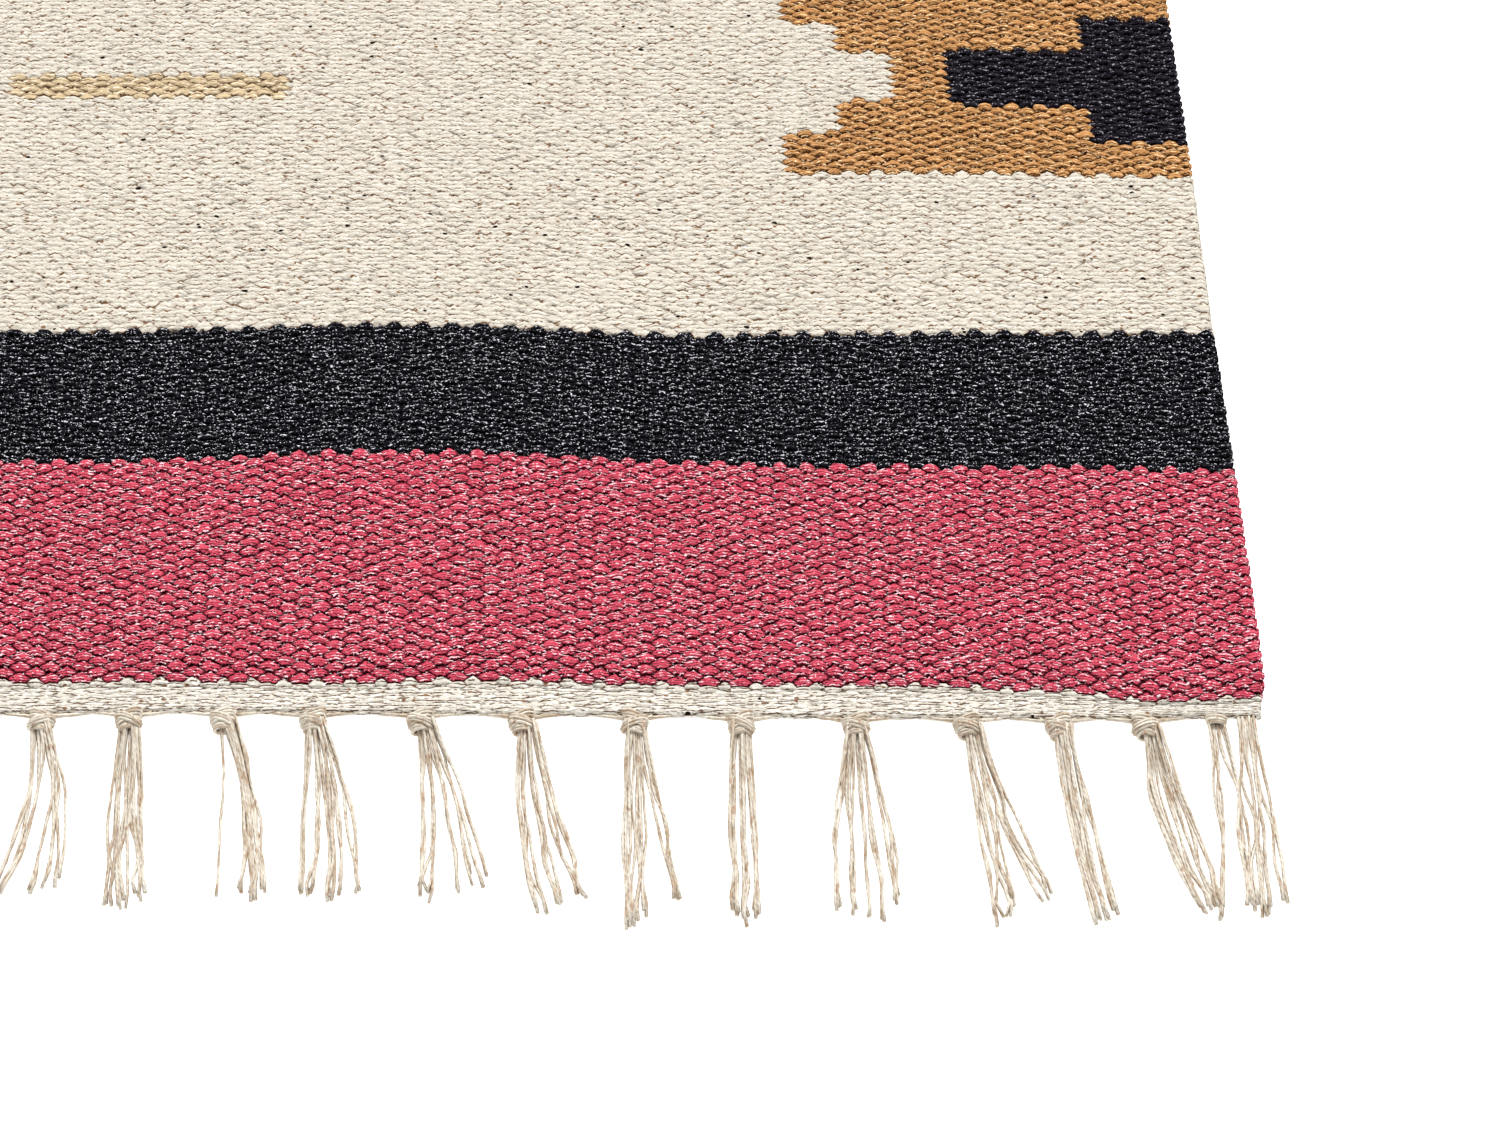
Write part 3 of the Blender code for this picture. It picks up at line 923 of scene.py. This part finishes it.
class Signal:
    """A node's output, so that a material's sums are written as formulas."""

    def __init__(self, tree, socket):
        self.tree = tree
        self.socket = socket

    def __add__(self, other):
        return maths("ADD", self, other)

    def __sub__(self, other):
        return maths("SUBTRACT", self, other)

    def __rsub__(self, other):
        return maths("SUBTRACT", other, self)

    def __mul__(self, other):
        return maths("MULTIPLY", self, other)

    def __truediv__(self, other):
        return maths("DIVIDE", self, other)


def fill(node, inputs):
    """Gives a node's inputs their signals, colours and numbers."""
    for name, value in inputs.items():
        socket = node.inputs[name]
        if isinstance(value, Signal):
            value.tree.links.new(value.socket, socket)
        else:
            socket.default_value = (*value, 1.0) if socket.type == "RGBA" else value
    return node


def add_node(tree, kind, inputs=None, **settings):
    """A new node."""
    node = tree.nodes.new(kind)
    for name, value in settings.items():
        setattr(node, name, value)
    return fill(node, inputs or {})


def output(tree, kind, inputs=None, socket=0, **settings):
    """The output of a new node."""
    return Signal(tree, add_node(tree, kind, inputs, **settings).outputs[socket])


def maths(operation, *values):
    """What a Math node makes of these values, one of them at least a signal."""
    tree = next(value.tree for value in values if isinstance(value, Signal))
    inputs = dict(enumerate((*values, 0.0, 0.0)[:3]))
    return output(tree, "ShaderNodeMath", inputs, operation=operation)


def scaled_plus(value, factor, more):
    """value times factor, plus more."""
    return maths("MULTIPLY_ADD", value, factor, more)


def blended(share, under, over, how="MIX"):
    """The colour under, covered by the colour over to this share."""
    tree = next(value.tree for value in (share, under, over) if isinstance(value, Signal))
    node = add_node(tree, "ShaderNodeMix", {0: share, 6: under, 7: over}, data_type="RGBA", blend_type=how)
    return Signal(tree, node.outputs[2])


def stepped(value, low, high, bottom=0.0, top=1.0):
    """value from low to high turned smoothly into bottom to top."""
    inputs = {"Value": value, "From Min": low, "From Max": high, "To Min": bottom, "To Max": top}
    return output(value.tree, "ShaderNodeMapRange", inputs, interpolation_type="SMOOTHSTEP")


def noise(place, scale, detail=1.0, roughness=0.5, distortion=0.0):
    """Noise of scale lumps for each unit of place."""
    inputs = {"Vector": place, "Scale": scale, "Detail": detail, "Roughness": roughness}
    inputs["Distortion"] = distortion
    return output(place.tree, "ShaderNodeTexNoise", inputs, "Fac", normalize=True)


def scaled(place, size):
    """place times size, axis by axis."""
    return output(place.tree, "ShaderNodeVectorMath", {0: place, 1: size}, operation="MULTIPLY")


def split(place):
    """The three parts of a place."""
    node = add_node(place.tree, "ShaderNodeSeparateXYZ", {0: place})
    return [Signal(place.tree, socket) for socket in node.outputs]


def combined(x, y, z):
    """A place from its three parts."""
    return output(x.tree, "ShaderNodeCombineXYZ", {0: x, 1: y, 2: z})


def new_material(name):
    """A new material, its node tree and the place of each point."""
    material = bpy.data.materials.new(name)
    material.use_nodes = True
    tree = material.node_tree
    return material, tree, output(tree, "ShaderNodeTexCoord", None, "Object")


def attribute(tree, name):
    """What a mesh has under this name."""
    return output(tree, "ShaderNodeAttribute", None, "Fac", attribute_name=name)


def place_on_yarn(tree):
    """How far along and across its yarn each point lies."""
    return split(output(tree, "ShaderNodeUVMap", uv_map="on_yarn"))[:2]


def finish_cotton(tree, colour, **bump):
    """Gives a material its colour, its bump and the dull surface of cotton."""
    inputs = {"Base Color": colour, "Normal": output(tree, "ShaderNodeBump", bump)}
    fill(tree.nodes["Principled BSDF"], {**inputs, "Roughness": 0.92, "Specular IOR Level": 0.02})


# A yarn's looks: its colours of painted shade in the creases and of painted shade along its strands, its
# colour on the whole, and a pale colour for flecks that also serves as painted highlight along its strands;
# how wide and, at least, how dark the painted crease shade is; from what noise on its strands have lines of
# painted shade and painted highlight, and how strong these are; from what noise on it has pale flecks; its
# strands on a stitch, how far stitches differ in tone, how deep the strands are, and the scale of their
# dashes.
Look = namedtuple(
    "Look",
    "crease dark colour pale "
    "crease_width crease_least dark_line lit_line lines flecks strands tones depth dashes",
)
YARN_LOOKS = {
    "cream": Look(
        (0.15, 0.07, 0.028), (0.1, 0.048, 0.02), (0.6, 0.55, 0.465), (0.8, 0.77, 0.7),
        0.48, 0.24, 0.54, 0.5, 0.95, 0.9, 2, 0.05, 0.7, 1300,
    ),
    "red": Look(
        (0.01, 0, 0.001), (0.014, 0, 0.001), (0.58, 0.07, 0.112), (1.00, 0.74, 0.78),
        0.66, 0.92, 0.37, 0.525, 1.0, 0.72, 4, 0.1, 0.6, 850,
    ),
    "black": Look(
        (0, 0, 0), (0, 0, 0), (0.008, 0.008, 0.011), (0.9, 0.89, 0.96),
        0.66, 0.85, 0.4, 0.575, 0.9, 0.68, 2, 0.1, 1.0, 1500,
    ),
    "brown": Look(
        (0.028, 0.006, 0.001), (0.045, 0.01, 0.002), (0.53, 0.262, 0.098), (0.95, 0.7, 0.41),
        0.68, 0.9, 0.45, 0.51, 0.95, 0.72, 3, 0.12, 0.7, 800,
    ),
    "tan": Look(
        (0.09, 0.045, 0.02), (0.14, 0.08, 0.035), (0.58, 0.45, 0.28), (0.92, 0.84, 0.68),
        0.6, 0.55, 0.48, 0.52, 0.85, 0.9, 2, 0.08, 0.7, 700,
    ),
    "hem": Look(
        (0.16, 0.09, 0.05), (0.09, 0.045, 0.022), (0.68, 0.64, 0.56), (0.93, 0.91, 0.86),
        0.45, 0.2, 0.4, 0.5, 1.0, 0.9, 1, 0.1, 0.4, 800,
    ),
    "motif_black": Look(
        (0, 0, 0), (0, 0, 0), (0.015, 0.012, 0.0175), (0.42, 0.4, 0.46),
        0.66, 0.85, 0.42, 0.575, 0.9, 0.715, 2, 0.12, 1.0, 1300,
    ),
}

# The fibres on a stitch, and the scales of noise in lumps for each metre.
FIBRE_LENGTH = 2.4 * MM
HEM_FIBRE_SHARE = 0.4
FIBRE_DEPTH = 1.6 * MM
STRAND_WOBBLE = 0.45
LINT_SCALE = 1300.0
SHADE_SCALE = 420.0
FLECK_SCALE = 1500.0
HIGHLIGHT_DASHES = 1.3
BASE_STITCH_PITCH = 3.2 * MM

# The warps' plies: how far apart they and the streaks on them lie along the yarn, in millimetres.
PLY_PITCH = 1.9
STREAK_LENGTH = 7.0
PLY_DEPTH = 0.18 * MM

# Specks in undyed cotton, dark seeds and fainter stains: how far apart they may lie, the largest one's
# radius as a share of that, and how seldom they are.
SPECKLED_YARNS = ("cream", "hem")
Speck = namedtuple("Speck", "spacing radius seldom colour")
SPECKS = (
    Speck(3.7 * MM, 0.19, 0.6, (0.01, 0.006, 0.004)),
    Speck(2.22 * MM, 0.247, 0.35, (0.24, 0.13, 0.07)),
)
SMALLEST_SPECK = 0.0001


def with_specks(place, colour):
    """Seeds and stains over the colour of undyed cotton."""
    place = scaled(place, (0.8, 1.2, 1.0))
    for speck in SPECKS:
        inputs = {"Vector": place, "Scale": 1 / speck.spacing}
        cells = add_node(place.tree, "ShaderNodeTexVoronoi", inputs)
        cell_colour = Signal(place.tree, cells.outputs["Color"])
        chance = output(place.tree, "ShaderNodeSeparateColor", {0: cell_colour})
        size = (chance - speck.seldom) * (speck.radius / (1 - speck.seldom))
        inside = Signal(place.tree, cells.outputs["Distance"]) / maths("MAXIMUM", size, SMALLEST_SPECK)
        present = maths("GREATER_THAN", chance, speck.seldom)
        colour = blended(stepped(inside, 1.15, 0.85) * present, colour, speck.colour)
    return colour


@functools.cache
def yarn_material(name):
    """Spun cotton: fibres along the yarn, painted shade in the creases between stitches and along its
    strands, painted highlight along its strands, and each stitch its own tone.
    """
    look = YARN_LOOKS[name]
    material, tree, place = new_material(f"{name}_cotton")
    tone = attribute(tree, "tone")
    along_yarn, across_yarn = place_on_yarn(tree)
    fibre_length = FIBRE_LENGTH * (HEM_FIBRE_SHARE if name == "hem" else 1)
    fibre_place = combined(split(place)[0] / fibre_length, across_yarn * (look.strands / 2), tone * 61.0)
    fibres = noise(fibre_place, 1.0, 2.0, 0.6, 0.4)
    lint = noise(scaled(place, (1.0, 1.8, 1.0)), LINT_SCALE, 1.0, 0.6, 0.6)

    # The strands of a stitch: 0 to 1 across each, with dashes of painted shade along each one's near edge and
    # of painted highlight along its far edge, towards the lamp.
    across = scaled_plus(fibres + lint - 1.0, STRAND_WOBBLE, across_yarn)
    strand = maths("FRACT", scaled_plus(across, look.strands / 2, scaled_plus(tone, 0.3, -0.15)))
    dashes = noise(scaled(place, (0.6, 1.3, 1.0)), look.dashes)
    dark = stepped(strand, 0.34, 0.2) * stepped(strand, 0.0, 0.08)
    dark = dark * stepped(dashes, look.dark_line, look.dark_line + 0.08)
    dashes = noise(scaled(place, (0.7, 1.4, 1.0)), look.dashes * HIGHLIGHT_DASHES)
    lit = stepped(strand, 0.6, 0.74) * stepped(strand, 0.98, 0.86)
    lit = lit * stepped(dashes, look.lit_line, look.lit_line + 0.08)

    # Painted shade in the creases: wider on a stitch's near side, away from the lamp, and not the same all
    # along.
    inward = scaled_plus(lint - 0.5, 0.9, attribute(tree, "rise"))
    width = scaled_plus(stepped(across_yarn, -0.05, 0.2), -0.3 * look.crease_width, look.crease_width)
    crease = stepped(inward / width, 1.0, 0.45)
    crease = crease * stepped(noise(place, SHADE_SCALE), 0.46, 0.62, look.crease_least, 1.0)
    # Painted shade also darkens each stitch's tips.
    tip = stepped(maths("ABSOLUTE", along_yarn), 0.6, 0.9)
    crease = maths("MAXIMUM", crease, tip * look.crease_least)

    # Painted shade along the strands, pale flecks, painted crease shade and painted highlight along the
    # strands.
    colour = blended(dark * look.lines, look.colour, look.dark)
    flecks = noise(scaled(place, (1.0, 1.5, 1.0)), FLECK_SCALE)
    colour = blended(stepped(flecks, look.flecks, look.flecks + 0.03), colour, look.pale)
    colour = blended(crease, colour, look.crease)
    colour = blended(lit * look.lines, colour, look.pale)
    if name in SPECKLED_YARNS:
        colour = with_specks(place, colour)
    value = scaled_plus(tone, look.tones, 1 - look.tones / 2)
    grey = output(tree, "ShaderNodeCombineColor", {0: value, 1: value, 2: value})
    colour = blended(1.0, colour, grey, "MULTIPLY")
    height = scaled_plus(strand * (1.0 - strand), 0.6, fibres)
    finish_cotton(tree, colour, Height=height, Strength=look.depth, Distance=FIBRE_DEPTH)
    return material


def base_material(name):
    """The same yarn on the underside, its weave drawn as the pattern of a brick wall with painted shade in
    its joints.
    """
    look = YARN_LOOKS[name]
    material, tree, place = new_material(f"{name}_cotton_base")
    x, y, _ = split(place)
    column = x / WARP_PITCH
    odd = maths("FLOORED_MODULO", maths("FLOOR", column), 2.0)
    row = scaled_plus(odd, 0.5, y / BASE_STITCH_PITCH)
    along = maths("ABSOLUTE", maths("FRACT", column) - 0.5)
    across = maths("ABSOLUTE", maths("FRACT", row) - 0.5)
    hump = stepped(along, 0.5, 0.1) * stepped(across, 0.5, 0.1)
    fibres = noise(scaled(place, (400.0, 2600.0, 1.0)), 1.0, 3.0, 0.6, 0.4)
    # Painted shade in the joints between the bricks, then pale fibres.
    colour = blended(stepped(hump, 0.0, 0.45), look.crease, look.colour)
    colour = blended(stepped(fibres, 0.5, 0.9, 0.0, 0.6), colour, look.pale)
    finish_cotton(tree, colour, Height=scaled_plus(fibres, 0.2, hump), Distance=RELIEF)
    return material


@functools.cache
def warp_material():
    """Plied warp cotton: painted shade in the grooves between its plies, and brownish where dirt has caught.
    """
    material, tree, place = new_material("warp_cotton")
    along_yarn, across_yarn = place_on_yarn(tree)
    winding = scaled_plus(across_yarn, 2.0, along_yarn / PLY_PITCH)
    ply = maths("ABSOLUTE", maths("FRACT", winding) - 0.5)
    streak_place = combined(along_yarn / STREAK_LENGTH, across_yarn * 2.4, attribute(tree, "tone") * 57.0)
    streaks = noise(streak_place, 1.0, 2.0, 0.6)
    stains = noise(scaled(place, (900.0, 320.0, 400.0)), 1.0)
    fibres = noise(scaled(place, (2200.0, 700.0, 1600.0)), 1.0, 2.0, 0.6)
    colour = blended(stepped(streaks, 0.36, 0.54), (0.42, 0.32, 0.23), (0.63, 0.57, 0.475))
    for pattern, low, high, bottom, top, over in (
        (streaks, 0.52, 0.66, 0.0, 1.0, (0.74, 0.69, 0.6)),
        # Painted shade in the grooves between the plies.
        (ply, 0.0, 0.2, 0.22, 0.0, (0.5, 0.38, 0.26)),
        (stains, 0.6, 0.7, 0.0, 0.7, (0.4, 0.25, 0.15)),
        (fibres, 0.5, 0.8, 0.0, 0.3, (0.92, 0.88, 0.8)),
    ):
        colour = blended(stepped(pattern, low, high, bottom, top), colour, over)
    finish_cotton(tree, colour, Height=scaled_plus(fibres, 0.6, ply), Distance=PLY_DEPTH)
    return material


def floor_material():
    """White that glows a little, so that the floor stays white in the picture."""
    material = bpy.data.materials.new("pale_floor")
    material.use_nodes = True
    inputs = {"Base Color": (0.93, 0.93, 0.93), "Roughness": 0.9, "Specular IOR Level": 0.1}
    glow = {"Emission Color": (1, 1, 1), "Emission Strength": 0.7}
    fill(material.node_tree.nodes["Principled BSDF"], {**inputs, **glow})
    return material


# The stage


def build_stage():
    """The floor, just under the rug."""
    mesh = bmesh.new()
    bmesh.ops.create_grid(mesh, x_segments=1, y_segments=1, size=FLOOR_HALF)
    data = bpy.data.meshes.new("floor")
    mesh.to_mesh(data)
    mesh.free()
    floor = add_piece("floor", data)
    floor.location.z = -FLOOR_GAP
    data.materials.append(floor_material())


def build_lights():
    """Soft light from all round, and a broad lamp above and behind."""
    world = bpy.data.worlds.new("studio")
    world.use_nodes = True
    fill(world.node_tree.nodes["Background"], {"Color": (1, 1, 1), "Strength": SKY_STRENGTH})
    bpy.context.scene.world = world
    lamp = bpy.data.lights.new("key", "SUN")
    lamp.energy = LAMP_STRENGTH
    lamp.angle = LAMP_BREADTH
    key = bpy.data.objects.new("key", lamp)
    bpy.context.scene.collection.objects.link(key)
    key.rotation_euler = Vector(LAMP_FROM).to_track_quat("Z", "Y").to_euler()
    bpy.context.scene.view_settings.view_transform = "Standard"


def build_camera():
    """The camera, where the photograph was taken from."""
    lens = bpy.data.cameras.new("camera")
    lens.lens = CAMERA_LENS
    lens.shift_x = CAMERA_SHIFT
    camera = bpy.data.objects.new("camera", lens)
    bpy.context.scene.collection.objects.link(camera)
    camera.location = CAMERA_PLACE
    camera.rotation_euler = (CAMERA_TILT, 0, 0)
    bpy.context.scene.camera = camera


build_camera()
build_lights()
build_stage()
base = build_base()
stitches = build_stitches()
fringe = build_fringe()
for piece in [base, *stitches, *fringe]:
    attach(piece, "root")
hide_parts("rug_cloth")
